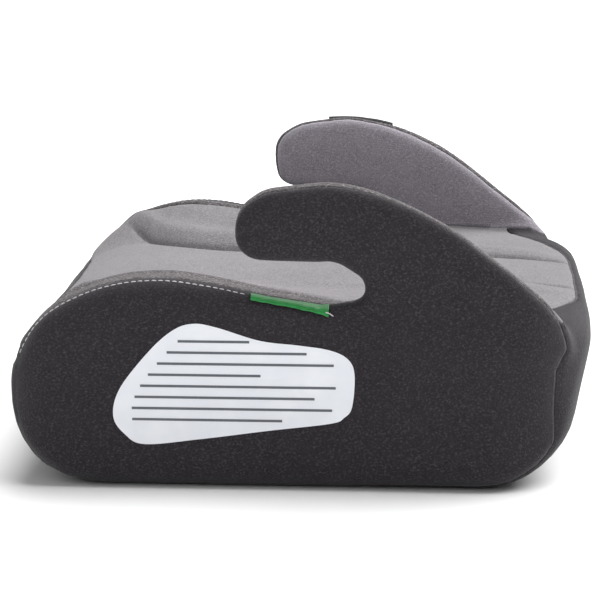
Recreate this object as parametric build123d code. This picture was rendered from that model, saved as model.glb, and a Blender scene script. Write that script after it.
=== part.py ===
"""Backless child booster seat: a moulded shell with two hooked armrests, foam padding and a sewn cover.

Frame: +Z up, the seat faces -Y, +X is the seated child's left. The origin is on the floor under the middle.
The seat is built outside in. block(t) is the padded seat body and armrest(t) the hooked armrest, each
shrunk by t, so every layer is the difference of two of them: cover, then foam, then shell, then cavity.
"""

from build123d import *
import copy
import math
import os

# Overall size
WIDTH = 430.0
DEPTH = 414.0
HALF = WIDTH / 2
FRONT = -DEPTH / 2
REAR = DEPTH / 2
FAR = 240.0  # beyond the seat on every side, for cutting boxes

# Layers, from the outside in
COVER = 4.0  # foam-backed cover fabric
SEAT_FOAM = 16.0
ARM_FOAM = 5.0
WALL = 3.0  # moulded shell
ARM_PLATE = 2.5  # plate that closes the open side of an armrest

# Body shape, side view
FRONT_SCOOP = 68.0  # radius under the child's knees
REAR_RADIUS = 62.0  # under the leaning back
REAR_TOP_RADIUS = 45.0
REAR_FOOT = 183.0  # where the leaning back face would meet the floor
PLAN_FRONT_RADIUS = 36.0
PLAN_REAR_RADIUS = 66.0

# Seat surface heights along Y: the sitting channel, and the side bolsters that rise beside it
CHANNEL_HALF = 72.0
BOLSTER_X = 158.0
CHANNEL_TOP = [
    (-214, 72), (-203, 94), (-188, 108), (-160, 117), (-120, 120), (0, 120),
    (120, 119.5), (168, 117), (194, 112), (214, 100),
]
BOLSTER_TOP = [
    (-214, 74), (-203, 96), (-180, 120), (-155, 136), (-125, 146), (-92, 149), (-60, 145),
    (-20, 136.5), (20, 131), (80, 127), (140, 123), (180, 116), (214, 104),
]

# Armrest, side view: y, z, corner radius
ARM_THICK = 28.0
ARM_EDGE = 7.0  # radius round the armrest's edges
ARM_TUCK = 0.3  # the armrest's tail stays this far inside the body's plan
ARM_OUTLINE = [
    (-45, 161.5, 17), (-45, 198, 20), (-24, 211, 36), (20, 216.5, 90), (60, 208, 160),
    (102, 186.5, 200), (150, 150.5, 200), (186, 121, 10), (186, 100, 0), (14, 100, 0),
    (14, 131.5, 3), (46.5, 133.5, 9), (46.5, 150, 11), (26, 160.5, 24),
]
ARM_IN = HALF - ARM_THICK

# Base
OPENING_X = 188.0
OPENING_Y = 128.0
OPENING_RADIUS = 32.0
HEM_X = 196.0
HEM_Y = 136.0
HEM = 28.0  # the hem's edge lies this far in from HEM_X and HEM_Y
ELASTIC = 34.0  # inner edge of the elastic in the hem
PLATE_THICK = 3.0
PLATE_GAP = 0.5
FOOT_R = 13.0
FEET = [(x, y) for x in (-136, 136) for y in (-88, 88)]
BOSSES = [(x, y) for x in (-108, 0, 108) for y in (-93, 93)]
BOSS_R = 6.0
SCREW_R = 2.0
SCREW_HEAD_R = 4.2
SCREW_HEAD = 2.2
ARM_HEAD = 1.4
HOOK_WIDTH = 16.0
HOOK_THICK = 2.2
HOOK_REACH = 15.0
HOOK_IN = -13.0  # claw position inwards from the elastic
RIB_THICK = 2.5
RIBS_X = (-56, 56)
RIBS_Y = (-70, 0, 70)
ARM_SCREWS = [(-8, 187), (66, 178), (100, 130), (42, 118)]

# Trim
STITCH_LENGTH = 4.6
STITCH_GAP = 2.4
STITCH_THICK = 0.5
STITCH_DROP = 8.0
MARKER_FRONT, MARKER_REAR = -34.0, 21.0
MARKER_TALL = 6.0
MARKER_DROP = 2.0
LABEL_THICK = 0.4
LABEL_OUTLINE = [
    (-112, 31), (-130, 50), (-110, 93), (-74, 119), (-27, 107), (20, 101), (38, 88),
    (37, 60), (22, 47), (-45, 37),
]
PATCH_FRONT, PATCH_REAR = 0.0, 54.0
FLAT = 0.02  # clearance between a trim piece and the cover it is sewn to


def rounded_face(corners):
    """A flat face through (u, v, radius) corners, each rounded by its own radius."""
    face = make_face(Polyline(*[(u, v) for u, v, _ in corners], close=True))
    for u, v, radius in corners:
        if radius:
            corner = face.vertices().sort_by_distance((u, v, 0))[0]
            face = fillet(corner, radius)
    return face


def shrunk(face, t):
    """The face moved in by t all round."""
    return offset(face, amount=-t, kind=Kind.INTERSECTION) if t else face


def across(face, x0, x1):
    """A side-view face (y, z) stretched from x0 to x1."""
    return extrude(Plane.YZ.offset(x0) * face, amount=x1 - x0)


def upright(face, z0, z1):
    """A plan-view face (x, y) stretched from z0 to z1."""
    return extrude(Plane.XY.offset(z0) * face, amount=z1 - z0)


def box(x0, x1, y0, y1, z0, z1):
    """A box between two corners."""
    return Pos((x0 + x1) / 2, (y0 + y1) / 2, (z0 + z1) / 2) * Box(x1 - x0, y1 - y0, z1 - z0)


def mirrored(shape):
    """The right-hand twin of a left-hand piece."""
    twins = [mirror(solid, about=Plane.YZ) for solid in shape.solids()]
    return twins[0] if len(twins) == 1 else Compound(twins)


def side_silhouette():
    """The body from the side, open upwards: knee scoop at the front, leaning back at the rear."""
    return rounded_face([
        (FRONT, 0, FRONT_SCOOP), (REAR_FOOT, 0, REAR_RADIUS), (REAR, 104, REAR_TOP_RADIUS),
        (REAR, 170, 0), (FRONT, 170, 0),
    ])


def plan_outline():
    """The body from above: a rectangle with generous corners."""
    return rounded_face([
        (-HALF, FRONT, PLAN_FRONT_RADIUS), (HALF, FRONT, PLAN_FRONT_RADIUS),
        (HALF, REAR, PLAN_REAR_RADIUS), (-HALF, REAR, PLAN_REAR_RADIUS),
    ])


def under_curve(heights, t):
    """The side-view face below a surface line lowered by t."""
    line = [(y, z - t) for y, z in heights]
    (y0, z0), (y1, z1) = line[0], line[-1]
    low = -20
    return make_face(Spline(*line) + Polyline((y1, z1), (y1, low), (y0, low), (y0, z0)))


def block(t):
    """The seat body without its armrests, shrunk by t all round."""
    channel, bolster = under_curve(CHANNEL_TOP, t), under_curve(BOLSTER_TOP, t)
    middle = across(channel, -CHANNEL_HALF, CHANNEL_HALF)
    ramp = loft([Plane.YZ.offset(CHANNEL_HALF) * channel, Plane.YZ.offset(BOLSTER_X) * bolster], ruled=True)
    half = ramp + across(bolster, BOLSTER_X, HALF)
    whole = middle + half + mirrored(half)
    whole &= across(shrunk(side_silhouette(), t), -HALF, HALF)
    return whole & upright(shrunk(plan_outline(), t), t, 180)


def armrest(t, x0, x1):
    """The left armrest hook between x0 and x1, its outline shrunk by t."""
    return across(shrunk(rounded_face(ARM_OUTLINE), t), x0, x1)


def opening(x, y, z0, z1):
    """A rounded rectangular prism over the middle of the base."""
    r = OPENING_RADIUS
    face = rounded_face([(-x, -y, r), (x, -y, r), (x, y, r), (-x, y, r)])
    return upright(face, z0, z1)


def screw(length, head_height):
    """A self-tapping screw along +Z, its head's flat face at z 0."""
    head = Pos(0, 0, head_height / 2) * Cylinder(SCREW_HEAD_R, head_height)
    shank = Pos(0, 0, head_height + length / 2) * Cylinder(SCREW_R, length)
    slot = Pos(0, 0, 0.3) * (Box(5, 0.9, 0.8) + Box(0.9, 5, 0.8))
    return head + shank - slot


# ---- Nested bodies -------------------------------------------------------------------------


def arm_body(t, x0, x1, edge=0):
    """The left armrest between x0 and x1, its edges rounded, trimmed to the body's plan."""
    hook = armrest(t, x0, x1)
    if edge:
        sides = hook.faces().group_by(Axis.X)
        hook = fillet(sides[0].edges() + sides[-1].edges(), edge)
    return hook & upright(shrunk(plan_outline(), t + ARM_TUCK), 90, 230)


ARM_SKIN = arm_body(0, ARM_IN, HALF, ARM_EDGE)
ARM_CORE = arm_body(COVER, ARM_IN + COVER, HALF - COVER)
CORE = block(COVER)
SKIN = block(0) + ARM_SKIN + mirrored(ARM_SKIN)
INSIDE = CORE + ARM_CORE + mirrored(ARM_CORE)
PADDING_ZONE = box(-172, 172, -165, 170, 60, 180)
PADDING = (copy.deepcopy(CORE) & PADDING_ZONE) - block(COVER + SEAT_FOAM)


def fresh(shape):
    """A copy of a shared body, so that one cut does not disturb the next."""
    return copy.deepcopy(shape)


# ---- Shell ---------------------------------------------------------------------------------

FOAM_X = ARM_IN + COVER + ARM_FOAM  # where the armrest's foam ends and its shell begins
PLATE_X = HALF - COVER - ARM_PLATE


def arm_channel():
    """The armrest's moulded channel, open to the outside, with four screw bosses."""
    channel = arm_body(COVER, FOAM_X, PLATE_X) - armrest(COVER + WALL, FOAM_X + WALL, FAR)
    for y, z in ARM_SCREWS:
        channel += Plane.YZ.offset(FOAM_X) * Pos(y, z) * extrude(Circle(5), PLATE_X - FOAM_X)
        channel -= Plane.YZ.offset(FOAM_X + WALL) * Pos(y, z) * extrude(Circle(SCREW_R), FAR)
    return channel


def body_shell():
    """One-piece moulded shell: seat deck, skirt, armrest channels, ribs and screw bosses."""
    tray_zone = box(-175, 175, -168, 173, 62, 180)
    tray = (fresh(CORE) & tray_zone) - block(COVER + SEAT_FOAM + WALL)
    hollow = block(COVER + WALL) - tray
    channel = arm_channel()
    clear = armrest(COVER, PLATE_X, FAR) + armrest(COVER + WALL, FOAM_X + WALL, FAR)
    shell = fresh(CORE) - clear - mirrored(clear) - fresh(PADDING) - fresh(hollow)
    shell = shell - opening(OPENING_X, OPENING_Y, -1, 12) + channel + mirrored(channel)
    ribs = [box(x - RIB_THICK / 2, x + RIB_THICK / 2, -FAR, FAR, 16, 150) for x in RIBS_X]
    ribs += [box(-FOAM_X, FOAM_X, y - RIB_THICK / 2, y + RIB_THICK / 2, 16, 150) for y in RIBS_Y]
    posts = [Pos(x, y, 80) * Cylinder(BOSS_R, 160 - 2 * (COVER + PLATE_THICK)) for x, y in BOSSES]
    for piece in ribs + posts:
        shell += piece & fresh(hollow)
    for x, y in BOSSES:
        shell -= Pos(x, y, 18) * Cylinder(SCREW_R, 36)
    return shell


def side_cover():
    """Flat plate that closes the channel side of the left armrest."""
    plate = arm_body(COVER, PLATE_X, HALF - COVER)
    for y, z in ARM_SCREWS:
        plate -= Plane.YZ.offset(PLATE_X - 5) * Pos(y, z) * extrude(Circle(SCREW_R + 0.2), 30)
        seat = Plane.YZ.offset(HALF - COVER - ARM_TUCK - ARM_HEAD - 0.2) * Pos(y, z)
        plate -= seat * extrude(Circle(SCREW_HEAD_R + 0.3), 9)
    return plate


def side_cover_screws():
    """The four short screws that hold the left armrest plate."""
    turned = Rot(0, -90, 0) * screw(6.5, ARM_HEAD)
    return Compound([Pos(HALF - COVER - ARM_TUCK - 0.1, y, z) * turned for y, z in ARM_SCREWS])


def hook_places():
    """Where each cover hook leaves the hem elastic, with its turn about Z."""
    x_edge, y_edge = HEM_X - ELASTIC - 0.2, HEM_Y - ELASTIC - 0.2
    along = [(x, sign * y_edge, 90 * sign) for x in (-70, 70) for sign in (-1, 1)]
    beside = [(sign * x_edge, y, 0 if sign > 0 else 180) for y in (-52, 52) for sign in (-1, 1)]
    return along + beside


def base_plate():
    """Plate screwed under the shell, with slots for the cover hooks and sockets for the feet."""
    z0 = COVER
    plate = opening(OPENING_X - PLATE_GAP, OPENING_Y - PLATE_GAP, z0, z0 + PLATE_THICK)
    for x in (-84, 0, 84):
        plate += Pos(x, 0, z0 + PLATE_THICK + 1) * Box(4, 150, 2)
    for x, y in FEET:
        plate += Pos(x, y, z0 + PLATE_THICK + 1.5) * Cylinder(FOOT_R - 2, 3)
        plate -= Pos(x, y, z0 + 2) * Cylinder(4.6, 30)
    for x, y in BOSSES:
        plate -= Pos(x, y, z0 + 2) * Cylinder(SCREW_R + 0.3, 30)
    for x, y, turn in hook_places():
        plate -= Pos(x, y) * Rot(0, 0, turn) * Pos(HOOK_IN, 0, z0 + 2) * Box(4, HOOK_WIDTH + 2, 20)
    return plate


def base_plate_screws():
    """Six screws up through the base plate into the shell's bosses."""
    return Compound([Pos(x, y, COVER - SCREW_HEAD - 0.05) * screw(20, SCREW_HEAD) for x, y in BOSSES])


def anti_slip_feet():
    """Four rubber feet pushed into the base plate."""
    pad = fillet(Cylinder(FOOT_R, 3.9).edges().group_by(Axis.Z)[0], 1.2)
    stem = Pos(0, 0, 6) * Cylinder(4.5, 8.1)
    foot = Pos(0, 0, 1.95) * pad + stem
    return Compound([Pos(x, y, 0) * foot for x, y in FEET])


# ---- Padding -------------------------------------------------------------------------------


def seat_foam():
    """Foam pad under the sitting channel."""
    return fresh(PADDING) & box(-CHANNEL_HALF, CHANNEL_HALF, -FAR, FAR, 0, FAR)


def bolster_foam():
    """Foam wedge under the left side bolster."""
    return fresh(PADDING) & box(CHANNEL_HALF + 0.4, FAR, -FAR, FAR, 0, FAR)


def armrest_foam():
    """Thin foam between the left armrest and its lining."""
    return arm_body(COVER, ARM_IN + COVER, FOAM_X) - fresh(CORE)


# ---- Cover ---------------------------------------------------------------------------------

FRONT_SEAM = -186.0
REAR_SEAM = 193.0
PIPING_Z = 111.3
PIPING_HALF = 120.0
PIPING_R = 0.9
SEAT_CORNER = 60.0
CORNER_FRONT = -168.0
CORNER_REAR = 170.0
GUSSET_X = 206.0
SEAT_X = 186.5


def cover_within(zone):
    """The cover's 4 mm skin inside a zone, cut away under the base inside the hem."""
    return (fresh(SKIN) & zone) - fresh(INSIDE) - opening(HEM_X - HEM, HEM_Y - HEM, -1, 30)


def seat_zone(rear):
    """Space above the seat, from the front seam to a rear edge with rounded corners."""
    r = SEAT_CORNER
    face = rounded_face([(-SEAT_X, FRONT_SEAM, 0), (SEAT_X, FRONT_SEAM, 0), (SEAT_X, rear, r), (-SEAT_X, rear, r)])
    return upright(face, 60, FAR)


def gusset_zone():
    """Space of the strip along the top of the left side wall and round the armrest."""
    return box(SEAT_X, GUSSET_X, CORNER_FRONT, CORNER_REAR, 112, FAR)


def seat_panel():
    """Light quilted panel over the sitting channel and bolsters."""
    return cover_within(seat_zone(REAR_SEAM - PIPING_R))


def armrest_lining():
    """Light lining on the inner face of the left armrest."""
    return cover_within(armrest(0, ARM_IN - 0.2, ARM_IN + COVER))


def gusset_strip():
    """Light strip along the side wall and round the edge of the left armrest."""
    return cover_within(gusset_zone()) - armrest(0, SEAT_X - 1, ARM_IN + COVER)


def side_panel():
    """Dark panel over the left side of the body and armrest."""
    zone = box(SEAT_X, FAR, CORNER_FRONT, CORNER_REAR, -1, FAR) - gusset_zone()
    return cover_within(zone)


def front_panel():
    """Dark panel across the front, from corner seam to corner seam."""
    zone = box(-FAR, FAR, -FAR, CORNER_FRONT, -1, FAR) + box(-SEAT_X, SEAT_X, CORNER_FRONT, 0, -1, 60)
    return cover_within(zone - seat_zone(REAR_SEAM))


def back_panel():
    """Dark panel across the back, from corner seam to corner seam."""
    zone = box(-FAR, FAR, CORNER_REAR, FAR, -1, FAR) + box(-SEAT_X, SEAT_X, 0, CORNER_REAR, -1, 60)
    zone += box(-SEAT_X, SEAT_X, REAR_SEAM - SEAT_CORNER - 8, CORNER_REAR, 60, 150)
    lining = armrest(0, ARM_IN - 0.2, ARM_IN + COVER)
    zone = zone - lining - mirrored(lining)
    return cover_within(zone - seat_zone(REAR_SEAM + PIPING_R))


# ---- Trim ----------------------------------------------------------------------------------


def bolster_height(y):
    """Height of the side wall's top edge at y, by straight steps between the surface points."""
    for (y0, z0), (y1, z1) in zip(BOLSTER_TOP, BOLSTER_TOP[1:]):
        if y0 <= y <= y1:
            return z0 + (z1 - z0) * (y - y0) / (y1 - y0)
    return BOLSTER_TOP[-1][1]


def topstitch():
    """Row of thread stitches along the left side panel's top edge."""
    stitches = []
    y = -150.0
    while y < MARKER_FRONT - STITCH_LENGTH:
        drop = bolster_height(y) - STITCH_DROP
        rise = bolster_height(y + STITCH_LENGTH) - bolster_height(y)
        angle = math.degrees(math.atan2(rise, STITCH_LENGTH))
        thread = Rot(angle, 0, 0) * Box(STITCH_THICK, STITCH_LENGTH, 0.9)
        stitches.append(Pos(HALF + STITCH_THICK / 2 + FLAT, y + STITCH_LENGTH / 2, drop) * thread)
        y += STITCH_LENGTH + STITCH_GAP
    return Compound(stitches)


def belt_marker():
    """Green ribbon sewn below the left belt slot, flat on the side panel."""
    x0 = HALF + FLAT
    front, rear = bolster_height(MARKER_FRONT) - MARKER_DROP, bolster_height(MARKER_REAR) - MARKER_DROP
    face = make_face(Polyline(
        (MARKER_FRONT, front), (MARKER_REAR, rear), (MARKER_REAR, rear - MARKER_TALL),
        (MARKER_FRONT, front - MARKER_TALL), close=True,
    ))
    return across(face, x0, x0 + STITCH_THICK)


def instruction_label():
    """Plain shaped label on the left side panel."""
    face = make_face(Spline(*LABEL_OUTLINE, periodic=True))
    return across(face, HALF + FLAT, HALF + FLAT + LABEL_THICK)


def armrest_patch():
    """Plain woven patch on the outside of the right armrest, its top edge just proud of the crest."""
    face = rounded_face([(PATCH_FRONT, 186, 2), (PATCH_REAR, 180, 2), (PATCH_REAR, 199, 2), (PATCH_FRONT, 205, 2)])
    return mirrored(across(face, HALF + FLAT, HALF + FLAT + STITCH_THICK))


def rear_piping():
    """Thin cord sewn into the straight part of the seat panel's rear seam."""
    return Pos(0, REAR_SEAM, PIPING_Z) * Rot(0, 90, 0) * Cylinder(PIPING_R - 0.05, 2 * PIPING_HALF)


def hem_elastic():
    """Elastic band in the hem under the base."""
    outer = opening(HEM_X - HEM - 0.4, HEM_Y - HEM - 0.4, 0.8, 3.4)
    return outer - opening(HEM_X - ELASTIC, HEM_Y - ELASTIC, 0, 5)


def hem_hooks():
    """Plastic hooks that run from the hem and turn up into the slots of the base plate."""
    z = COVER - 0.4 - HOOK_THICK / 2
    tongue = Pos(-HOOK_REACH / 2, 0, z) * Box(HOOK_REACH, HOOK_WIDTH, HOOK_THICK)
    claw = Pos(HOOK_IN, 0, z + 3) * Box(2.4, HOOK_WIDTH, 6)
    hook = tongue + claw
    return Compound([Pos(x, y) * Rot(0, 0, turn) * hook for x, y, turn in hook_places()])


# ---- Export --------------------------------------------------------------------------------

foam_bolster = bolster_foam()
foam_armrest = armrest_foam()
lining = armrest_lining()
gusset = gusset_strip()
side = side_panel()
arm_plate = side_cover()
arm_screws = side_cover_screws()
stitches = topstitch()
marker = belt_marker()

nodes = {
    "body_shell": body_shell(),
    "base_plate": base_plate(),
    "base_plate_screws": base_plate_screws(),
    "anti_slip_feet": anti_slip_feet(),
    "left_side_cover": arm_plate,
    "right_side_cover": mirrored(arm_plate),
    "left_cover_screws": arm_screws,
    "right_cover_screws": mirrored(arm_screws),
    "seat_foam": seat_foam(),
    "left_bolster_foam": foam_bolster,
    "right_bolster_foam": mirrored(foam_bolster),
    "left_armrest_foam": foam_armrest,
    "right_armrest_foam": mirrored(foam_armrest),
    "seat_panel": seat_panel(),
    "left_armrest_lining": lining,
    "right_armrest_lining": mirrored(lining),
    "left_gusset_strip": gusset,
    "right_gusset_strip": mirrored(gusset),
    "left_side_panel": side,
    "right_side_panel": mirrored(side),
    "front_panel": front_panel(),
    "back_panel": back_panel(),
    "rear_piping": rear_piping(),
    "left_topstitch": stitches,
    "right_topstitch": mirrored(stitches),
    "left_belt_marker": marker,
    "right_belt_marker": mirrored(marker),
    "instruction_label": instruction_label(),
    "armrest_patch": armrest_patch(),
    "hem_elastic": hem_elastic(),
    "hem_hooks": hem_hooks(),
}

os.makedirs("parts", exist_ok=True)
for name, shape in nodes.items():
    export_step(shape, f"parts/{name}.step")
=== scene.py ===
import math
import bpy
import numpy as np
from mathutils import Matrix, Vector


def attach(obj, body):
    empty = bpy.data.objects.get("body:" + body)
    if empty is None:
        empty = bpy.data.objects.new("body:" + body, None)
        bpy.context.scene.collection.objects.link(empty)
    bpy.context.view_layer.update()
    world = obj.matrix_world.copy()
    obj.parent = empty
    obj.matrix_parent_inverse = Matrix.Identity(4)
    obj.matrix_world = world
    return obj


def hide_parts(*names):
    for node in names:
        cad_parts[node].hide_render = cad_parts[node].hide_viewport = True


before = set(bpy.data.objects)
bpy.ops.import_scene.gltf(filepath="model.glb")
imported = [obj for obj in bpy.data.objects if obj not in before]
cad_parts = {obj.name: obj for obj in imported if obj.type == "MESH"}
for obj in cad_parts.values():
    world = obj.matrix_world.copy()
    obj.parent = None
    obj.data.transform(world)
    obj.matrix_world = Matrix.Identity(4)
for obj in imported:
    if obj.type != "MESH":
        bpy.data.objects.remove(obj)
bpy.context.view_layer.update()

# Everything is worked out in millimetres in the CAD frame and scaled to metres when a mesh is made.
MM = 0.001
HALF = 214.0  # half the width
GRID = 2.6  # cell size of the cover's mesh
NET_LOW, NET_HIGH = (-222, -216, -8), (222, 216, 222)  # the space the cover's mesh is looked for in
FLAT_WALL_Y, FLAT_WALL_Z = 60, 128  # the side wall is flat in front of this y and below this z

# ---- Outlines: near the CAD model's, with rounder edges and a slightly uneven right side -------

SIDE_OUTLINE = [(-209, 0, 68), (180, 0, 68), (214, 116, 50), (214, 170, 0), (-209, 170, 0)]
ARM_OUTLINE = [
    (-44.5, 164.5, 17), (-44.5, 196, 20), (-24, 208.5, 36), (20, 214.0, 90), (60, 206.5, 160),
    (104, 185, 200), (150, 150.5, 200), (192, 117, 10), (192, 96, 0), (14, 96, 0),
    (14, 131.5, 6), (46.5, 133.5, 10), (46.5, 150, 12), (26, 163.5, 26),
]
CHANNEL_TOP = [
    (-214, 72), (-203, 94), (-188, 108), (-160, 117), (-120, 120), (0, 120),
    (120, 119.5), (168, 118.5), (194, 117), (208, 115), (226, 110),
]
BOLSTER_TOP = [
    (-214, 74), (-203, 95), (-185, 117), (-165, 132), (-145, 141.5), (-120, 147.5), (-92, 148.5),
    (-60, 144.5), (-34, 138.5), (0, 132.5), (20, 129.5), (80, 125), (140, 121.5), (180, 118),
    (200, 114.5), (220, 108),
]
QUILT_X = [
    (-200, 190), (-168, 160), (-155, 134), (-140, 113), (-125, 100), (-110, 91), (-95, 85),
    (-64, 78), (-40, 76), (60, 67), (150, 58), (200, 52),
]


def rounded(corners):
    """Polyline through (u, v, radius) corners, each rounded by an arc."""
    out = []
    n = len(corners)
    for i, (u, v, r) in enumerate(corners):
        p = np.array([u, v], float)
        if not r:
            out.append(p)
            continue
        a = np.array(corners[i - 1][:2], float) - p
        b = np.array(corners[(i + 1) % n][:2], float) - p
        a /= np.linalg.norm(a)
        b /= np.linalg.norm(b)
        half = math.acos(max(-1, min(1, float(a @ b)))) / 2
        reach = r / math.tan(half)
        centre = p + (a + b) / np.linalg.norm(a + b) * (r / math.sin(half))
        start, end = p + a * reach - centre, p + b * reach - centre
        turn = math.atan2(start[0] * end[1] - start[1] * end[0], float(start @ end))
        for k in range(9):
            t = turn * k / 8
            c, s = math.cos(t), math.sin(t)
            out.append(centre + np.array([start[0] * c - start[1] * s, start[0] * s + start[1] * c]))
    return np.array(out)


def polygon_distance(poly, u, v):
    """Signed distance of points to a closed polygon, negative inside."""
    best = np.full(u.shape, 1e9)
    inside = np.zeros(u.shape, bool)
    for (x0, y0), (x1, y1) in zip(poly, np.roll(poly, -1, axis=0)):
        ex, ey = x1 - x0, y1 - y0
        wx, wy = u - x0, v - y0
        t = np.clip((wx * ex + wy * ey) / (ex * ex + ey * ey + 1e-12), 0, 1)
        best = np.minimum(best, (wx - t * ex) ** 2 + (wy - t * ey) ** 2)
        cross = ((y0 <= v) != (y1 <= v)) & (u < x0 + ex * (v - y0) / (ey if abs(ey) > 1e-9 else 1e-9))
        inside ^= cross
    return np.where(inside, -1, 1) * np.sqrt(best)


class Table:
    """A smooth function of two coordinates, kept on a grid and read by bilinear interpolation."""

    def __init__(self, make, u0, u1, v0, v1, step):
        self.u0, self.v0, self.step = u0, v0, step
        u = np.arange(u0, u1 + step, step)
        v = np.arange(v0, v1 + step, step)
        self.z = make(*np.meshgrid(u, v, indexing="ij"))

    def __call__(self, u, v):
        n, m = self.z.shape
        a = np.clip((u - self.u0) / self.step, 0, n - 1.001)
        b = np.clip((v - self.v0) / self.step, 0, m - 1.001)
        i, j = a.astype(int), b.astype(int)
        a, b = a - i, b - j
        z = self.z
        return (z[i, j] * (1 - a) * (1 - b) + z[i + 1, j] * a * (1 - b)
                + z[i, j + 1] * (1 - a) * b + z[i + 1, j + 1] * a * b)


def curve_of(points, soft=9.0):
    """A smoothed curve through (position, value) points."""
    at = np.arange(-260, 261.0)
    xs, ys = zip(*points)
    raw = np.interp(at, xs, ys)
    kernel = np.exp(-0.5 * (np.arange(-40, 41) / soft) ** 2)
    padded = np.concatenate([np.full(40, raw[0]), raw, np.full(40, raw[-1])])
    smooth = np.convolve(padded, kernel / kernel.sum(), "valid")
    return lambda q: np.interp(q, at, smooth)


channel_z = curve_of(CHANNEL_TOP)
bolster_z = curve_of(BOLSTER_TOP)
quilt_x = curve_of(QUILT_X, 7)


def smoothstep(x, a, b):
    t = np.clip((x - a) / (b - a), 0, 1)
    return t * t * (3 - 2 * t)


def seat_height(x, y):
    """Height of the seat: a crowned channel between two puffy bolsters, the right one a little lower."""
    ax = np.abs(x)
    q = quilt_x(y)
    foot = np.minimum(q, 112)
    t = np.clip((ax - foot) / (166 - foot), 0, 1)
    blend = 0.45 * t + 0.55 * smoothstep(t, 0, 1)
    z = channel_z(y) * (1 - blend) + bolster_z(y) * blend
    z = z - 3.2 * np.exp(-(((y + 66) / 34) ** 2)) * smoothstep(-x, 125, 170)
    z = z - 6.0 * smoothstep(-x, 158, 208) * smoothstep(y, 0, -50)
    puff = smoothstep(y, -200, -130) * smoothstep(y, 206, 150)
    crown = np.clip(1 - (ax / q) ** 2, 0, 1) * 3.4
    roll = 5.2 * np.exp(-(((ax - q - 19) / 14) ** 2))
    groove = 6.0 * np.exp(-(((ax - q) / 3.4) ** 2)) * smoothstep(y, -172, -148) * smoothstep(y, 202, 184)
    return z + puff * (crown + np.where(ax > q, roll, 0)) - groove


def seat_scale(x, y):
    """Turns a height above the sloping seat surface into a distance from it."""
    e = 1.0
    gx = (seat_height(x + e, y) - seat_height(x - e, y)) / (2 * e)
    gy = (seat_height(x, y + e) - seat_height(x, y - e)) / (2 * e)
    return 1 / np.sqrt(1 + gx * gx + gy * gy)


side_2d = Table(lambda y, z: polygon_distance(rounded(SIDE_OUTLINE), y, z), -235, 235, -25, 235, 1.5)
arm_2d = Table(lambda y, z: polygon_distance(rounded(ARM_OUTLINE), y, z), -235, 235, -25, 235, 1.5)
top_z = Table(seat_height, -235, 235, -235, 235, 1.25)
top_k = Table(seat_scale, -235, 235, -235, 235, 1.5)


REAR_CORNER, FRONT_CORNER = 80.0, 36.0
REAR_Y, REAR_BULGE, FRONT_Y = 208.5, 5.0, 209


def plan_distance(x, y):
    """Signed distance to the plan outline, with larger corners at the rear."""
    r = np.where(y > 0, REAR_CORNER, FRONT_CORNER)
    rear = REAR_Y + REAR_BULGE * np.clip(1 - (x / 170) ** 2, 0, 1)
    qx = np.abs(x) - (HALF - r)
    qy = np.where(y > 0, y - (rear - r), -y - (FRONT_Y - r))
    return np.hypot(np.maximum(qx, 0), np.maximum(qy, 0)) + np.minimum(np.maximum(qx, qy), 0) - r


def round_and(a, b, r):
    """Intersection of two distances whose edge is rounded by r."""
    return np.minimum(-r, np.maximum(a, b)) + np.hypot(np.maximum(a + r, 0), np.maximum(b + r, 0))


def smooth_or(a, b, k):
    h = np.maximum(k - np.abs(a - b), 0) / k
    return np.minimum(a, b) - h * h * k / 4


WALL_EDGE, FOOT_EDGE = 9, 8  # radius of the upright edges, and what the foot adds to it
TOP_EDGE, REAR_EDGE = 12.5, 7.5  # radius of the top edge, and what the rear adds to it


def body_distance(p):
    """Signed distance to the covered seat without its armrests."""
    x, y, z = p[..., 0], p[..., 1], p[..., 2]
    wall = round_and(plan_distance(x, y), side_2d(y, z), WALL_EDGE + FOOT_EDGE * smoothstep(z, 40, 10))
    top = (z - top_z(x, y)) * top_k(x, y)
    return round_and(wall, top, TOP_EDGE + REAR_EDGE * smoothstep(y, 120, 185))


ARM_X, ARM_HALF, ARM_EDGE = 200.6, 12.4, 8.5  # x of an armrest's middle, half its thickness, edge radius
HOOK_Z = 187  # height between the hooked tip's upper and lower half


def arm_distance(p):
    """Signed distance to the covered armrests, the right one lower at its crest and under its hook."""
    x, y, z = p[..., 0], p[..., 1], p[..., 2]
    inner = np.clip((213 - np.abs(x)) / 23, 0, 1)
    above = np.clip((z - HOOK_Z) / 22, 0, 1)
    below = np.clip((HOOK_Z - z) / 22.5, 0, 1)
    right = smoothstep(x, 20, -20)
    rise = 4.2 * smoothstep(y, 92, 20) * above
    fall = (4.0 * smoothstep(y, 40, 8) * (1 - right) + 11.0 * right * smoothstep(y, 66, 46)) * below
    low = 3.0 * right * smoothstep(y, 80, 30) * above
    flat = arm_2d(y, z + inner * (fall - rise) + low)
    puff = 1.3 * smoothstep(-flat, 0, 20)
    thick = np.abs(np.abs(x) - ARM_X) - (ARM_HALF + puff)
    return round_and(round_and(flat, thick, ARM_EDGE), plan_distance(x, y), 8)


BLEND, REAR_BLEND = 3.0, 14.0  # how softly an armrest runs into the seat, and what the rear adds


def cover_distance(p):
    """Signed distance to the whole cover."""
    blend = BLEND + REAR_BLEND * smoothstep(p[..., 1], 125, 175)
    return smooth_or(body_distance(p), arm_distance(p), blend)


def gradient(f, p, e=0.6):
    g = np.empty(p.shape)
    for k in range(3):
        step = np.zeros(3)
        step[k] = e
        g[..., k] = (f(p + step) - f(p - step)) / (2 * e)
    return g


def settle(f, p, rounds=3):
    """Moves points onto the surface where f is 0. Returns them and their normals."""
    for _ in range(rounds):
        g = gradient(f, p)
        p = p - g * (f(p) / np.maximum((g * g).sum(-1), 0.05))[..., None]
    g = gradient(f, p)
    return p, g / np.maximum(np.linalg.norm(g, axis=-1), 1e-6)[..., None]


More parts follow.
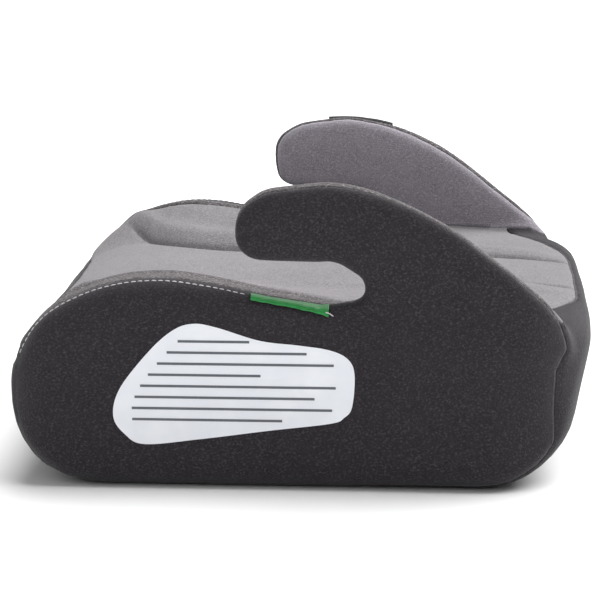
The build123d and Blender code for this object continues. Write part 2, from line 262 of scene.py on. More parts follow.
def surface_net(f, low, high, h):
    """Quads over the surface where f is 0: one vertex per grid cell that it crosses."""
    axes = [np.arange(a, b + h, h) for a, b in zip(low, high)]
    v = np.empty([len(a) for a in axes], np.float32)
    for i, x in enumerate(axes[0]):
        yz = np.stack(np.meshgrid([x], axes[1], axes[2], indexing="ij"), -1)
        v[i] = f(yz)[0]
    inside = v < 0
    cells = tuple(n - 1 for n in v.shape)
    total, count = np.zeros(cells + (3,), np.float32), np.zeros(cells, np.float32)
    for axis in range(3):
        others = [a for a in range(3) if a != axis]
        for m in (0, 1):
            for n in (0, 1):
                at = [slice(0, -1)] * 3
                for o, shift in zip(others, (m, n)):
                    at[o] = slice(shift, v.shape[o] - 1 + shift)
                low_at, high_at = list(at), list(at)
                low_at[axis] = slice(0, -1)
                high_at[axis] = slice(1, None)
                a, b = v[tuple(low_at)], v[tuple(high_at)]
                cut = (a < 0) != (b < 0)
                t = np.where(cut, a / np.where(cut, a - b, 1), 0)
                total[..., axis] += t
                for o, shift in zip(others, (m, n)):
                    total[..., o] += cut * shift
                count += cut
    active = count > 0
    index = np.full(cells, -1)
    index[active] = np.arange(active.sum())
    where = np.argwhere(active)
    points = np.array(low) + h * (where + total[active] / count[active][:, None])
    quads = []
    for axis in range(3):
        j, k = (axis + 1) % 3, (axis + 2) % 3
        a = np.take(inside, range(0, v.shape[axis] - 1), axis)
        b = np.take(inside, range(1, v.shape[axis]), axis)
        spots = np.argwhere(a != b)
        ok = (spots[:, j] > 0) & (spots[:, k] > 0)
        ok &= (spots[:, j] < v.shape[j] - 1) & (spots[:, k] < v.shape[k] - 1)
        spots = spots[ok]
        out = a[tuple(spots.T)]
        ring = []
        for dj, dk in ((-1, -1), (0, -1), (0, 0), (-1, 0)):
            c = spots.copy()
            c[:, j] += dj
            c[:, k] += dk
            ring.append(index[tuple(c.T)])
        q = np.stack(ring, 1)
        quads.append(np.where(out[:, None], q, q[:, ::-1]))
    return points, np.concatenate(quads)


# ---- Seams -----------------------------------------------------------------------------------

TOP_Z = 84  # the cover above this height is its top side
LINING_X = 192.0  # x of the seam between an armrest's lining and its strip
HEM_HALF_X, HEM_HALF_Y, HEM_CORNER, HEM_Z = 168, 108, 32, 3  # the opening underneath

outer_x = curve_of([(-206, 189), (-160, 193), (0, 193), (40, 199), (150, 200), (185, 190)], 8)
inner_x = curve_of([
    (-208, 184), (-188, 173), (-150, 162), (-90, 159), (-10, 162), (25, 172), (48, 192), (60, 200),
], 7)
front_y = curve_of([
    (-200, -204), (-180, -202), (-150, -198), (-110, -192), (0, -188),
    (110, -192), (150, -198), (180, -202), (200, -204),
], 6)
rear_y = curve_of([(0, 200), (78, 199.5), (98, 196), (130, 183), (160, 167), (190, 147), (220, 122)], 6)


def rear_line(p):
    """Signed distance to the seat panel's rear edge, negative over the panel."""
    return (p[..., 1] - rear_y(np.abs(p[..., 0]))) * 0.9


def hem_line(p):
    """Signed distance to the hem's opening, negative inside it."""
    qx = np.abs(p[..., 0]) - (HEM_HALF_X - HEM_CORNER)
    qy = np.abs(p[..., 1]) - (HEM_HALF_Y - HEM_CORNER)
    out = np.hypot(np.maximum(qx, 0), np.maximum(qy, 0))
    return out + np.minimum(np.maximum(qx, qy), 0) - HEM_CORNER


def side_limit(p):
    """The x where a side panel starts, further out on the armrest."""
    y, z = p[..., 1], p[..., 2]
    lift = smoothstep(z, 146, 154)
    return outer_x(y) * (1 - lift) + 203.0 * lift + 4 * smoothstep(y, 20, 60) * (1 - lift)


def seams(p):
    """Each seam as (signed distance, where it runs, groove depth, groove width)."""
    x, y, z = p[..., 0], p[..., 1], p[..., 2]
    ax = np.abs(x)
    arm = body_distance(p) - arm_distance(p)
    on_arm = arm > 0
    top = z > TOP_Z
    return {
        "side": (ax - side_limit(p), np.ones(x.shape, bool), 1.0, 2.2),
        "arm": (arm, (ax < 196) & top & (y < 196), 0.0, 2.0),
        "lining": (ax - LINING_X, on_arm & (ax > 186) & (ax < 199) & (z > 112), 0.9, 2.0),
        "strip": (ax - inner_x(y), ~on_arm & top & (y < 44) & (ax < 200), 1.9, 2.2),
        "ridge": (ax - inner_x(y) - 13.0, ~on_arm & top & (y < 30) & (ax < 196), 1.1, 2.4),
        "front": (y - front_y(x), ~on_arm & top & (ax < 206) & (y < -120), 1.3, 2.4),
        "rear": (rear_line(p), ~on_arm & top & (ax < 200) & (y > 60), 1.8, 2.0),
        "hem": (hem_line(p), z < HEM_Z, 0.0, 2.0),
        "middle": (y, (z < 6) & (ax < 196), 0.4, 2.0),
    }


def panel_of(p):
    """Name of the cover panel at each point, with left and right apart where there are two."""
    x, y, z = p[..., 0], p[..., 1], p[..., 2]
    ax = np.abs(x)
    s = seams(p)
    on_arm = (s["arm"][0] > 0) & (ax > 184) & (z > 118)
    top = z > TOP_Z
    name = np.full(x.shape, "back", dtype=object)
    name[y < 0] = "front"
    seat = top & (s["front"][0] > 0) & (s["rear"][0] < 0) & ~on_arm
    name[seat] = "seat"
    strip = top & ~on_arm & (ax > inner_x(y)) & (y < 50) & (s["front"][0] > 0)
    name[strip] = "strip"
    name[on_arm & (ax <= LINING_X)] = "lining"
    name[on_arm & (ax > LINING_X)] = "strip"
    name[s["side"][0] > 0] = "side"
    name[(z < HEM_Z) & (s["hem"][0] < 0)] = "none"
    sided = np.isin(name, ["strip", "lining", "side"])
    name[sided & (x > 0)] = "left_" + name[sided & (x > 0)]
    name[sided & (x < 0)] = "right_" + name[sided & (x < 0)]
    return name


def snap_to_seams(points, quads):
    """Moves the nearest vertices onto each seam, so the panels' edges run smoothly."""
    edges = np.concatenate([quads[:, [i, (i + 1) % 4]] for i in range(4)])
    edges = np.unique(np.sort(edges, axis=1), axis=0)
    frozen = np.zeros(len(points), bool)
    for key in ("side", "arm", "lining", "strip", "front", "rear", "hem", "middle"):
        s, valid = seams(points)[key][:2]
        a, b = edges[:, 0], edges[:, 1]
        cut = valid[a] & valid[b] & (s[a] * s[b] < 0)
        a, b = a[cut], b[cut]
        t = s[a] / (s[a] - s[b])
        spot = points[a] + (points[b] - points[a]) * t[:, None]
        near = np.where(t < 0.5, a, b)
        far = np.where(t < 0.5, b, a)
        near = np.where(frozen[near], far, near)
        move = np.linalg.norm(points[near] - spot, axis=1)
        order = np.argsort(-move)
        order = order[~frozen[near[order]]]
        target = points.copy()
        target[near[order]] = spot[order]
        frozen[near[order]] = True
        points = target
    return points, frozen


def split_quads(quads, frozen):
    """Cuts a quad in two along the diagonal that lies on a seam."""
    f = frozen[quads]
    first = f[:, 0] & f[:, 2] & ~(f[:, 1] & f[:, 3])
    second = f[:, 1] & f[:, 3] & ~(f[:, 0] & f[:, 2])
    whole = quads[~(first | second)]
    a, b = quads[first], quads[second]
    tris = np.concatenate([a[:, [0, 1, 2]], a[:, [0, 2, 3]], b[:, [0, 1, 3]], b[:, [1, 2, 3]]])
    return whole, tris


rng = np.random.default_rng(7)
WAVES = [(rng.normal(size=3) * k, rng.uniform(0, 6.28), a) for k, a in
         ((0.018, 0.45), (0.025, 0.35), (0.03, 0.3), (0.045, 0.2), (0.06, 0.14), (0.08, 0.1)) for _ in (0, 1)]


def relief(p):
    """How far the cover sinks at each point: seam grooves with puckers, and slow waves in the cloth."""
    depth = np.zeros(p.shape[:-1])
    along = p[..., 1] * 0.7 + p[..., 2] * 0.5 + p[..., 0] * 0.35
    pucker = 1 + 0.3 * np.sin(along / 1.7) * np.sin(along / 4.1 + 1.3)
    for s, valid, deep, wide in seams(p).values():
        depth += np.where(valid, deep * np.exp(-((s / wide) ** 2)) * pucker, 0)
    wave = sum(a * np.sin(p @ k + phase) for k, phase, a in WAVES)
    flat = (p[..., 0] > 200) & (p[..., 1] < FLAT_WALL_Y) & (p[..., 2] < FLAT_WALL_Z)
    ground = smoothstep(p[..., 2], 2, 18)
    return depth - wave * np.where(flat, 0, 1) * ground


points, quads = surface_net(cover_distance, NET_LOW, NET_HIGH, GRID)
points, _ = settle(cover_distance, points, 3)
points, frozen = snap_to_seams(points, quads)
quads, tris = split_quads(quads, frozen)
points, normals = settle(cover_distance, points, 1)
quad_panel = panel_of(points[quads].mean(1))
tri_panel = panel_of(points[tris].mean(1))
points = points - normals * relief(points)[:, None]
points[:, 2] = np.maximum(points[:, 2], 0.0)
flat_wall = (points[:, 1] < FLAT_WALL_Y) & (points[:, 2] < FLAT_WALL_Z)
points[:, 0] = np.clip(points[:, 0], NET_LOW[0], np.where(flat_wall, HALF, NET_HIGH[0]))


# ---- Materials -------------------------------------------------------------------------------


class Nodes:
    """Short names for building a node tree."""

    def __init__(self, name):
        self.mat = bpy.data.materials.new(name)
        self.mat.use_nodes = True
        self.tree = self.mat.node_tree
        self.shader = self.tree.nodes["Principled BSDF"]
        self.place = self.tree.nodes.new("ShaderNodeTexCoord").outputs["Object"]

    def add(self, kind, inputs=(), **settings):
        n = self.tree.nodes.new("ShaderNode" + kind)
        for k, v in settings.items():
            setattr(n, k, v)
        for k, v in dict(inputs).items():
            if isinstance(v, bpy.types.NodeSocket):
                self.tree.links.new(v, n.inputs[k])
            else:
                n.inputs[k].default_value = v
        return n

    def noise(self, scale, detail=2.0, rough=0.6, vector=None):
        inputs = {"Vector": vector or self.place, "Scale": scale, "Detail": detail, "Roughness": rough}
        return self.add("TexNoise", inputs).outputs["Fac"]

    def stretch(self, scale, turn=(0, 0, 0)):
        n = self.add("Mapping", {"Vector": self.place, "Scale": scale, "Rotation": turn})
        return n.outputs["Vector"]

    def band(self, value, low, high, to_low=0.0, to_high=1.0):
        return self.add("MapRange", {"Value": value, "From Min": low, "From Max": high,
                                     "To Min": to_low, "To Max": to_high}).outputs["Result"]

    def math(self, op, a, b):
        return self.add("Math", {0: a, 1: b}, operation=op).outputs[0]

    def mix(self, fac, a, b):
        n = self.add("Mix", {"Factor": fac}, data_type="RGBA")
        for i, v in ((6, a), (7, b)):  # the colour sockets of the mix node
            if isinstance(v, bpy.types.NodeSocket):
                self.tree.links.new(v, n.inputs[i])
            else:
                n.inputs[i].default_value = v
        return n.outputs[2]

    def bump(self, height, strength, distance, below=None):
        inputs = {"Height": height, "Strength": strength, "Distance": distance}
        if below is not None:
            inputs["Normal"] = below
        return self.add("Bump", inputs).outputs["Normal"]

    def to(self, **sockets):
        for k, v in sockets.items():
            s = self.shader.inputs[k.replace("_", " ")]
            if isinstance(v, bpy.types.NodeSocket):
                self.tree.links.new(v, s)
            else:
                s.default_value = v
        return self.mat


def rgb(r, g, b):
    """A display colour, 0 to 255, as linear light."""
    lin = [(c / 255 / 12.92) if c <= 10 else ((c / 255 + 0.055) / 1.055) ** 2.4 for c in (r, g, b)]
    return (*lin, 1.0)


def melange(name, dark, mid, light, sheen, fleck=0.5, weave=1.0):
    """Brushed melange knit: yarn-sized flecks of three shades, slow drift of tone, and fibre bump."""
    n = Nodes(name)
    yarn = n.noise(1050, 3.0, 0.8)
    streak = n.noise(1.0, 2.0, 0.6, n.stretch((1500, 520, 700), (0.3, 0.2, 0.5)))
    patch = n.noise(95, 3.0, 0.6)
    drift = n.noise(9, 2.0, 0.5)
    spot = n.noise(560, 1.0, 0.5, n.stretch((1, 1.4, 0.8), (0.6, 0, 0.4)))
    base = n.mix(n.band(yarn, 0.36, 0.66), dark, mid)
    base = n.mix(n.math("MULTIPLY", n.band(streak, 0.5, 0.72), fleck), base, light)
    base = n.mix(n.math("MULTIPLY", n.band(patch, 0.35, 0.7), 0.28), base, mid)
    base = n.mix(n.math("MULTIPLY", n.band(spot, 0.7, 0.78), 0.55 * fleck), base, light)
    base = n.mix(n.math("MULTIPLY", n.band(drift, 0.3, 0.75), 0.16), base, dark)
    rib = n.add("TexWave", {"Vector": n.stretch((1, 1, 1), (0.4, 0.7, 0.3)), "Scale": 330.0 * weave,
                            "Distortion": 3.0, "Detail": 2.0, "Detail Scale": 2.0}).outputs["Fac"]
    first = n.bump(yarn, 0.5, 0.0007)
    second = n.bump(rib, 0.22, 0.0004, first)
    rough = n.band(yarn, 0.3, 0.7, 0.86, 0.98)
    return n.to(Base_Color=base, Roughness=rough, Normal=second, Sheen_Weight=sheen,
                Sheen_Roughness=0.42, Specular_IOR_Level=0.2)


def plastic(name, colour, rough, grain=1400, depth=0.00008):
    """Fine-grained plastic, rubber or film with paler worn patches."""
    n = Nodes(name)
    fine = n.noise(grain, 2.0, 0.5)
    wear = n.noise(26, 3.0, 0.6)
    worn = tuple(min(1, c * 1.5 + 0.004) for c in colour[:3]) + (1,)
    shade = n.mix(n.band(wear, 0.4, 0.75, 0, 0.35), colour, worn)
    return n.to(Base_Color=shade, Roughness=n.band(fine, 0.3, 0.7, rough - 0.08, rough + 0.08),
                Normal=n.bump(fine, 0.4, depth))


def ribbon_material(name, dark, light, along=900):
    """Woven ribbon or thread, its weft across y and its warp across z."""
    n = Nodes(name)
    weft_in = {"Vector": n.place, "Scale": along, "Distortion": 0.6}
    warp_in = {"Vector": n.place, "Scale": along * 0.7, "Distortion": 0.5}
    weft = n.add("TexWave", weft_in, bands_direction="Y").outputs["Fac"]
    warp = n.add("TexWave", warp_in, bands_direction="Z").outputs["Fac"]
    tone = n.noise(140, 2.0, 0.6)
    base = n.mix(n.math("MULTIPLY", weft, 0.6), dark, light)
    base = n.mix(n.band(tone, 0.35, 0.75, 0, 0.4), base, light)
    return n.to(Base_Color=base, Roughness=0.55, Normal=n.bump(n.math("ADD", weft, warp), 0.3, 0.0002),
                Sheen_Weight=0.3, Sheen_Roughness=0.3)


dark_cloth = melange("charcoal_melange", rgb(31, 28, 32), rgb(53, 50, 54), rgb(92, 88, 93), 0.14)
lining_cloth = melange("lining_melange", rgb(112, 108, 114), rgb(160, 155, 163), rgb(196, 191, 199), 0.1, 0.5)
light_cloth = melange("grey_melange", rgb(94, 92, 94), rgb(141, 138, 141), rgb(182, 179, 181), 0.1, 0.5)
strip_cloth = melange("strip_melange", rgb(48, 45, 47), rgb(94, 90, 92), rgb(172, 168, 170), 0.08, 0.9, 0.6)
thread = ribbon_material("white_thread", rgb(176, 172, 176), rgb(225, 222, 224), 2600)
green = ribbon_material("green_ribbon", rgb(6, 96, 38), rgb(22, 158, 66))
patch_cloth = ribbon_material("black_tape", rgb(26, 25, 28), rgb(46, 45, 50), 1100)
cord_cloth = melange("piping_cord", rgb(52, 49, 52), rgb(78, 74, 77), rgb(104, 100, 104), 0.2)
label_white = plastic("label_film", rgb(226, 229, 235), 0.42, 900, 0.00003)
print_grey = plastic("print_grey", rgb(84, 88, 96), 0.45, 900, 0.00003)
shell_plastic = plastic("shell_plastic", rgb(40, 40, 43), 0.5)
rubber = plastic("foot_rubber", rgb(24, 24, 25), 0.75, 2200, 0.00015)
elastic = ribbon_material("hem_elastic_weave", rgb(22, 22, 24), rgb(52, 52, 56), 700)


def metal(name):
    """Zinc-plated steel with fine turning marks."""
    n = Nodes(name)
    scratch = n.noise(1.0, 2.0, 0.6, n.stretch((300, 3000, 300)))
    return n.to(Base_Color=n.mix(scratch, rgb(150, 150, 152), rgb(196, 196, 198)), Metallic=1.0,
                Roughness=n.band(scratch, 0.3, 0.7, 0.28, 0.5), Normal=n.bump(scratch, 0.2, 0.00005))


zinc = metal("zinc_steel")


# ---- Making pieces ---------------------------------------------------------------------------


def make(name, verts, faces, material, smooth=True, thick=0.0):
    """A piece from millimetre vertices that rides on the seat's one body."""
    mesh = bpy.data.meshes.new(name)
    mesh.from_pydata((np.asarray(verts, float) * MM).tolist(), [], [list(map(int, f)) for f in faces])
    mesh.validate()
    mesh.polygons.foreach_set("use_smooth", [smooth] * len(mesh.polygons))
    mesh.materials.append(material)
    obj = bpy.data.objects.new(name, mesh)
    bpy.context.scene.collection.objects.link(obj)
    if thick:
        mod = obj.modifiers.new("thickness", "SOLIDIFY")
        mod.thickness = thick * MM
        mod.offset = -1.0
        mod.use_rim = True
    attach(obj, "root")
    return obj


CLOTH, PAD_CLOTH = 1.9, 2.4  # thickness of the plain and the foam-backed cloth


def panel(name, key, material, thick=CLOTH):
    """The faces of one cover panel as a sewn piece of cloth."""
    q, t = quads[quad_panel == key], tris[tri_panel == key]
    used = np.unique(np.concatenate([q.ravel(), t.ravel()]))
    index = np.full(len(points), -1)
    index[used] = np.arange(len(used))
    faces = [*index[q], *index[t]]
    return make(name, points[used], faces, material, True, thick)


def on_cover(p):
    """Points moved onto the finished cover, grooves included, with their normals."""
    p, n = settle(cover_distance, np.asarray(p, float), 4)
    return p - n * relief(p)[:, None], n


def strip_faces(n, m):
    """Faces between n rows of m points."""
    return [(i * m + k, i * m + k + 1, (i + 1) * m + k + 1, (i + 1) * m + k)
            for i in range(n - 1) for k in range(m - 1)]


def tube(name, path, radius, material, sides=10):
    """A round cord along a path."""
    path = np.asarray(path, float)
    tangent = np.gradient(path, axis=0)
    tangent /= np.linalg.norm(tangent, axis=1)[:, None]
    up = np.array([0.3, 0.2, 0.93])
    a = np.cross(tangent, up)
    a /= np.linalg.norm(a, axis=1)[:, None]
    b = np.cross(tangent, a)
    r = np.broadcast_to(radius, len(path))
    angle = np.linspace(0, 2 * np.pi, sides, endpoint=False)
    verts = (path[:, None] + r[:, None, None] * (np.cos(angle)[None, :, None] * a[:, None]
             + np.sin(angle)[None, :, None] * b[:, None])).reshape(-1, 3)
    faces = []
    for i in range(len(path) - 1):
        for k in range(sides):
            m = (k + 1) % sides
            faces.append((i * sides + k, i * sides + m, (i + 1) * sides + m, (i + 1) * sides + k))
    faces.append(tuple(range(sides))[::-1])
    faces.append(tuple(range((len(path) - 1) * sides, len(path) * sides)))
    return make(name, verts, faces, material)


def stitch_row(name, path, length, pitch, radius, material):
    """Separate thread stitches along a path, each a short bead sunk at its ends."""
    path, normal = on_cover(path)
    step = np.linalg.norm(np.diff(path, axis=0), axis=1)
    dist = np.concatenate([[0], np.cumsum(step)])
    verts, faces = [], []
    ring = np.linspace(0, 2 * np.pi, 8, endpoint=False)
    t = np.linspace(-1, 1, 7)
    jitter = np.random.default_rng(3)
    s = pitch
    while s < dist[-1] - pitch:
        shift = jitter.uniform(-0.15, 0.15)
        at = s + shift + t * length / 2
        centre = np.stack([np.interp(at, dist, path[:, k]) for k in range(3)], 1)
        n = np.array([np.interp(s, dist, normal[:, k]) for k in range(3)])
        along = centre[-1] - centre[0]
        along /= np.linalg.norm(along)
        n -= along * (n @ along)
        n /= np.linalg.norm(n)
        side = np.cross(along, n)
        size = radius * np.sqrt(np.clip(1 - t ** 4, 0.03, 1))
        centre = centre + n * (0.25 * radius - 0.5 * radius * t[:, None] ** 2)
        base = len(verts)
        for c, r in zip(centre, size):
            for a in ring:
                verts.append(c + r * (np.cos(a) * n + 1.15 * np.sin(a) * side))
        for i in range(6):
            for k in range(8):
                m = (k + 1) % 8
                row = base + i * 8
                faces.append((row + k, row + m, row + 8 + m, row + 8 + k))
        faces.append(tuple(base + k for k in range(8))[::-1])
        faces.append(tuple(base + 48 + k for k in range(8)))
        s += pitch
    return make(name, verts, faces, material)


# ---- Cover panels ----------------------------------------------------------------------------

seat = panel("seat_cover", "seat", light_cloth, PAD_CLOTH)
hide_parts("seat_panel", "seat_foam", "left_bolster_foam", "right_bolster_foam")

front = panel("front_cover", "front", dark_cloth)
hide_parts("front_panel")
back = panel("back_cover", "back", dark_cloth)
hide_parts("back_panel")
for hand in ("left", "right"):
    side = panel(f"{hand}_side_cover_cloth", f"{hand}_side", dark_cloth)
    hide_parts(f"{hand}_side_panel")
    strip = panel(f"{hand}_gusset", f"{hand}_strip", strip_cloth)
    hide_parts(f"{hand}_gusset_strip")
    lining = panel(f"{hand}_armrest_pad", f"{hand}_lining", lining_cloth, PAD_CLOTH)
    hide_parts(f"{hand}_armrest_lining", f"{hand}_armrest_foam")

# ---- Rear piping, topstitch ------------------------------------------------------------------

PIPING_RADIUS = 0.95
STITCH_LENGTH, STITCH_PITCH, STITCH_RADIUS = 3.7, 4.8, 0.42

x = np.linspace(-176, 176, 220)
line = np.stack([x, rear_y(np.abs(x)), np.full(len(x), 116.0)], 1)
path, normal = on_cover(line)
keep = arm_distance(path) > 0.5
piping = tube("rear_piping_cord", (path + normal * 0.2)[keep], PIPING_RADIUS, cord_cloth)
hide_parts("rear_piping")

for hand, sign in (("left", 1), ("right", -1)):
    y = np.linspace(-203, -31, 300)
    x = outer_x(y) + 12.5
    z = bolster_z(y) - 1.8
    line = np.stack([sign * x, y, z], 1)
    row = stitch_row(f"{hand}_topstitch_thread", line, STITCH_LENGTH, STITCH_PITCH, STITCH_RADIUS, thread)
    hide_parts(f"{hand}_topstitch")

# ---- Belt markers ----------------------------------------------------------------------------

# Rows of the ribbon: how far out and down each lies, its lift off the cover, and how freely it ripples.
RIBBON_ROWS = [
    (1.5, 0, 0.3, 0), (4.5, 1.0, 0.8, 0), (7.5, 3.0, 1.0, 0.1), (8.0, 3.5, 1.9, 0.3),
    (9.2, 4.6, 2.4, 0.8), (10.2, 6.2, 2.6, 1.0), (10.6, 7.2, 1.9, 1.0),
]
RIBBON_THICK = 0.45


def belt_marker(hand, sign):
    """Green ribbon caught in the slot seam: a flat upper band and a loose rippled lower fold."""
    y = np.linspace(-34, 21, 90)
    ripple = 0.5 * np.sin(y / 1.5) + 0.5 * np.sin(y / 2.6 + 1)
    rows = []
    for out, drop, lift, loose in RIBBON_ROWS:
        z = bolster_z(y) + 1.2 - drop - 0.5 * loose * ripple
        point, n = on_cover(np.stack([sign * (outer_x(y) + 5.0 + out), y, z], 1))
        rows.append(point + n * (lift + 0.45 * loose * ripple)[:, None] if loose else point + n * lift)
    m = len(rows)
    verts = np.array(rows).transpose(1, 0, 2).reshape(-1, 3)
    faces = strip_faces(len(y), m)
    if sign < 0:
        faces = [f[::-1] for f in faces]
    obj = make(f"{hand}_marker_ribbon", verts, faces, green, True, RIBBON_THICK)
    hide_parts(f"{hand}_belt_marker")
    t = np.linspace(0, 1, 12)[:, None]
    path = rows[4][-1] + np.array([sign * 0.6, 5.4, -1.0]) * t + np.array([0, 0, -1.6]) * t * t
    loose = tube(f"{hand}_loose_thread", path - [0, 2.2, 0], STITCH_RADIUS, thread, 8)


for hand, sign in (("left", 1), ("right", -1)):
    belt_marker(hand, sign)

# ---- Label -----------------------------------------------------------------------------------

LABEL_X, LABEL_THICK = HALF + 0.1, 0.35


def slab(outlines, name, x0, x1, material):
    """Flat shapes (y, z) on the left wall, raised from x0 to x1, all in one piece."""
    verts, faces = [], []
    for outline in outlines:
        base, n = len(verts), len(outline)
        for x in (x0, x1):
            verts += [(x, y, z) for y, z in outline]
        faces.append(tuple(range(base + n, base + 2 * n)))
        faces.append(tuple(range(base, base + n))[::-1])
        faces += [(base + i, base + (i + 1) % n, base + n + (i + 1) % n, base + n + i) for i in range(n)]
    return make(name, verts, faces, material, False)


def closed_curve(points, per=10):
    """Smooth closed outline through a few points."""
    p = np.array(points, float)
    out = []
    for i in range(len(p)):
        a, b, c, d = p[i - 1], p[i], p[(i + 1) % len(p)], p[(i + 2) % len(p)]
        for t in np.arange(per) / per:
            out.append(0.5 * (2 * b + (c - a) * t + (2 * a - 5 * b + 4 * c - d) * t ** 2
                              + (3 * b - a - 3 * c + d) * t ** 3))
    return [tuple(q) for q in out]


def bar(y0, z0, y1, z1, w):
    """A straight bar of width w between two points."""
    d = np.array([y1 - y0, z1 - z0], float)
    d /= np.linalg.norm(d)
    s = np.array([-d[1], d[0]]) * w / 2
    a, b = np.array([y0, z0]), np.array([y1, z1])
    return [tuple(a - s), tuple(b - s), tuple(b + s), tuple(a + s)]


BLOB = closed_curve([
    (-108, 32), (-122, 39), (-130, 52), (-125, 72), (-104, 99), (-87, 114), (-73, 118.5), (-57, 116),
    (-27, 107), (0, 104), (21, 101), (34, 95), (39, 84), (37.5, 61), (32, 53), (22, 48.5),
    (-20, 43), (-70, 36),
])
label = slab([BLOB], "side_label", LABEL_X, LABEL_X + LABEL_THICK, label_white)
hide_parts("instruction_label")

INK0, INK1 = LABEL_X + 0.34, LABEL_X + 0.46


def label_span(z):
    """The label's first and last y at one height."""
    a = np.array(BLOB)
    b = np.roll(a, -1, axis=0)
    cut = (a[:, 1] - z) * (b[:, 1] - z) < 0
    a, b = a[cut], b[cut]
    y = a[:, 0] + (z - a[:, 1]) / (b[:, 1] - a[:, 1]) * (b[:, 0] - a[:, 0])
    return y.min(), y.max()


# Plain rules at an even pitch stand in for the print.
RULE_MARGIN, RULE_WIDTH, RULE_PITCH = 13, 1.8, 8
RULE_SHARES = (0.8, 1.0, 0.9, 1.0, 0.6, 1.0, 0.9, 1.0)
rules = []
for z, share in zip(range(50, 107, RULE_PITCH), RULE_SHARES):
    y0, y1 = label_span(z)
    y0, y1 = y0 + RULE_MARGIN, y1 - RULE_MARGIN
    rules.append(bar(y0, z, y0 + share * (y1 - y0), z, RULE_WIDTH))
lines = slab(rules, "label_lines", INK0, INK1, print_grey)

# ---- Tape on the right armrest ---------------------------------------------------------------


# Rows of the tape: how far below the crest and how far out each lies.
TAPE_ROWS = [(1.0, 209.0), (3.5, 212.5), (7.0, 214.0), (12.0, 214.0), (17.0, 214.0)]
TAPE_LENGTH, TAPE_LIFT, TAPE_THICK = 54, 0.5, 0.5


def armrest_tape():
    """Plain woven tape on the right armrest's outer side, its fold standing just above the crest."""
    y = np.linspace(0, TAPE_LENGTH, 40)
    crest = np.interp(y, *zip(*[(-20, 206), (0, 208), (25, 209), (40, 207.5), (60, 203)]))
    rows = []
    for drop, out in TAPE_ROWS:
        point, n = on_cover(np.stack([np.full(len(y), -out), y, crest - drop], 1))
        rows.append(point + n * (TAPE_LIFT + 0.15 * np.sin(y / 6))[:, None])
    height = np.interp(y, [0, TAPE_LENGTH], [4.6, 3.4])[:, None]
    fold = rows[0] + [-0.5, 0, 0] + np.array([0, 0, 1.0]) * height
    rows = [rows[0] + [1.2, 0, 0.2], fold + [0.7, 0, 0], fold] + rows
    m = len(rows)
    verts = np.array(rows).transpose(1, 0, 2).reshape(-1, 3)
    obj = make("armrest_tape", verts, strip_faces(len(y), m), patch_cloth, True, TAPE_THICK)
    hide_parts("armrest_patch")


armrest_tape()

# ---- Shell and arm plates under the cover -----------------------------------------------------


SHELL_INSET, SHELL_BOTTOM, SHELL_GRID = 5.0, 9.0, 7.0


def shell_distance(p):
    """Signed distance to the moulded shell, a little inside the cover and above the base plate."""
    return np.maximum(cover_distance(p) + SHELL_INSET, SHELL_BOTTOM - p[..., 2])


shell_points, shell_quads = surface_net(shell_distance, (-216, -212, 0), (216, 212, 216), SHELL_GRID)
shell = make("moulded_shell", shell_points, shell_quads, shell_plastic)
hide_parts("body_shell")


PLATE_THICK = 2.2


def arm_plate(hand, sign):
    """Flat plate just inside the cover that closes the outer side of an armrest."""
    step, level, x = 4.0, -9.0, 208.6  # mesh step, offset from the armrest's outline, and the plate's x
    y, z = np.meshgrid(np.arange(-60, 180, step), np.arange(112, 216, step), indexing="ij")
    n, m = y.shape
    for _ in range(3):
        d = arm_2d(y, z) - level
        gy = (arm_2d(y + 1, z) - arm_2d(y - 1, z)) / 2
        gz = (arm_2d(y, z + 1) - arm_2d(y, z - 1)) / 2
        near = np.abs(d) < step * 0.6
        k = np.where(near, d / np.maximum(gy * gy + gz * gz, 0.3), 0)
        y, z = y - gy * k, z - gz * k
    inside = (arm_2d(y, z) - level < 0.05) & (plan_distance(np.full(y.shape, x), y) < -3)
    faces = [(i * m + j, (i + 1) * m + j, (i + 1) * m + j + 1, i * m + j + 1)
             for i in range(n - 1) for j in range(m - 1) if inside[i:i + 2, j:j + 2].all()]
    if sign < 0:
        faces = [f[::-1] for f in faces]
    used = sorted({v for f in faces for v in f})
    index = {v: k for k, v in enumerate(used)}
    verts = np.stack([np.full(y.size, sign * x), y.ravel(), z.ravel()], 1)[used]
    faces = [[index[v] for v in f] for f in faces]
    obj = make(f"{hand}_arm_plate", verts, faces, shell_plastic, False, PLATE_THICK)
    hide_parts(f"{hand}_side_cover")


arm_plate("left", 1)
arm_plate("right", -1)

# ---- Carried-over CAD pieces -----------------------------------------------------------------

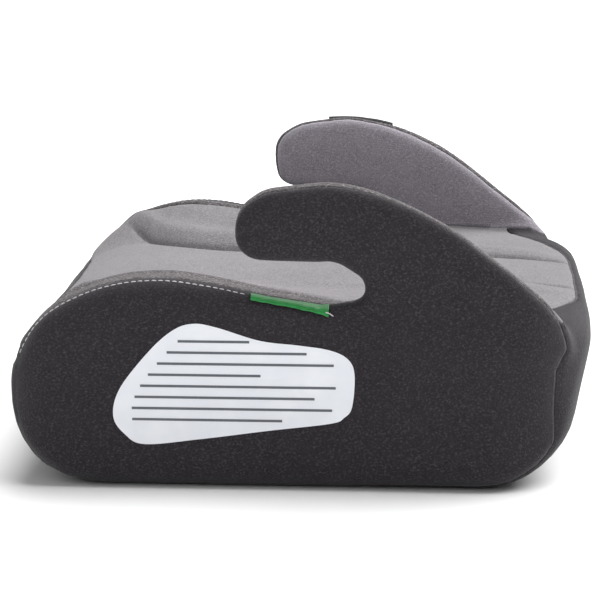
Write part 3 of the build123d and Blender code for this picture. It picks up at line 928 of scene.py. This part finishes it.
FINISH = {
    "base_plate": shell_plastic, "base_plate_screws": zinc, "left_cover_screws": zinc,
    "right_cover_screws": zinc, "anti_slip_feet": rubber, "hem_elastic": elastic, "hem_hooks": shell_plastic,
}
for node, material in FINISH.items():
    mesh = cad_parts[node].data
    mesh.materials.clear()
    mesh.materials.append(material)

# ---- Stage -----------------------------------------------------------------------------------


def floor():
    size = 30.0
    mesh = bpy.data.meshes.new("floor")
    corners = [(-size, -size, 0), (size, -size, 0), (size, size, 0), (-size, size, 0)]
    mesh.from_pydata(corners, [], [(0, 1, 2, 3)])
    n = Nodes("pale_floor")
    tone = n.noise(3.0, 2.0, 0.5)
    mesh.materials.append(n.to(Base_Color=n.mix(tone, rgb(243, 243, 243), rgb(247, 247, 247)), Roughness=0.9))
    obj = bpy.data.objects.new("floor", mesh)
    obj.location.z = -0.0005
    bpy.context.scene.collection.objects.link(obj)


def sun(name, aim_from, power, angle):
    data = bpy.data.lights.new(name, "SUN")
    data.energy = power
    data.angle = math.radians(angle)
    obj = bpy.data.objects.new(name, data)
    obj.rotation_euler = Vector(aim_from).to_track_quat("Z", "Y").to_euler()
    bpy.context.scene.collection.objects.link(obj)


floor()
sun("overhead", (-0.42, 0.42, 1.0), 5.6, 70)
sun("front_soft", (0.75, -0.5, 0.8), 0.5, 60)

world = bpy.data.worlds.new("studio")
world.use_nodes = True
world.node_tree.nodes["Background"].inputs["Color"].default_value = (1, 1, 1, 1)
world.node_tree.nodes["Background"].inputs["Strength"].default_value = 0.28
bpy.context.scene.world = world
bpy.context.scene.view_settings.view_transform = "Standard"

AZIMUTH, ELEVATION, DISTANCE = math.radians(93.5), math.radians(11.0), 1.946
target = Vector((0.0, -0.012, 0.0945))
level = math.cos(ELEVATION)
away = Vector((math.sin(AZIMUTH) * level, -math.cos(AZIMUTH) * level, math.sin(ELEVATION)))
data = bpy.data.cameras.new("camera")
data.lens = 150
data.sensor_width = 36
data.clip_end = 100
camera = bpy.data.objects.new("camera", data)
camera.location = target + away * DISTANCE
camera.rotation_euler = (-away).to_track_quat("-Z", "Y").to_euler()
bpy.context.scene.collection.objects.link(camera)
bpy.context.scene.camera = camera
